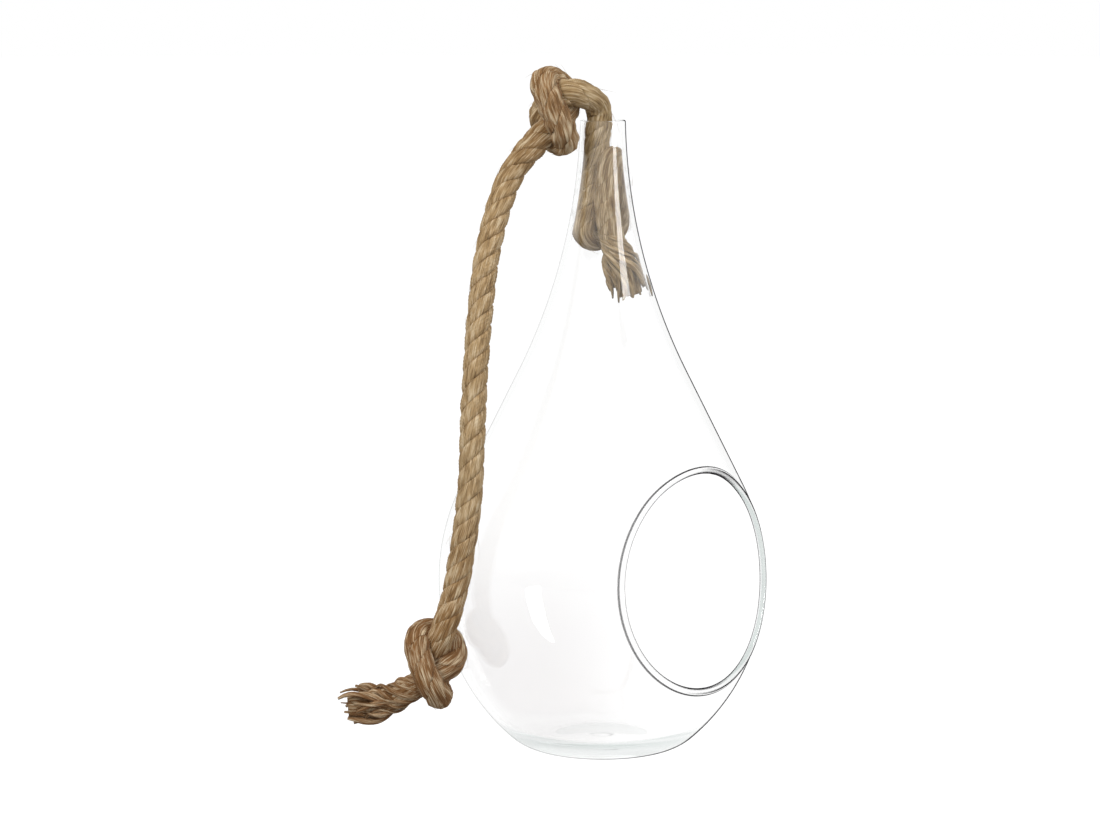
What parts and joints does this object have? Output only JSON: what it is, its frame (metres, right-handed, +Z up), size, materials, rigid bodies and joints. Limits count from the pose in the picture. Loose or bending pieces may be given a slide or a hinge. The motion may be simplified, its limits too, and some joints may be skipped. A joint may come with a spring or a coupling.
{
  "type": "propagation vase",
  "caption": "Clear glass teardrop vase with a large round side opening, a narrow mouth and a knotted jute rope folded into the neck.",
  "frame": {"origin": "middle of the vessel's foot, on the surface that it stands on", "axes": "+Z up along the vessel's axis towards its mouth, -Y out of the side opening, +X to the right of someone who faces the opening"},
  "size_m": [0.2029, 0.145, 0.3234],
  "materials": {
    "clear_glass": "clear gloss",
    "jute_rope": "rough natural fibre"
  },
  "bodies": {
    "vessel": {"glass_vessel": "clear_glass"},
    "rope": {"stopper_tail": "jute_rope", "stopper_knot": "jute_rope", "neck_rope": "jute_rope", "top_knot": "jute_rope", "rope_fall": "jute_rope", "end_knot": "jute_rope", "rope_tail": "jute_rope"}
  },
  "joints": [
    {"name": "rope_swivel", "type": "hinge", "parent": "vessel", "child": "rope", "pos_m": [0, 0, 0.299], "axis": [0, 0, 1], "continuous": true}
  ]
}
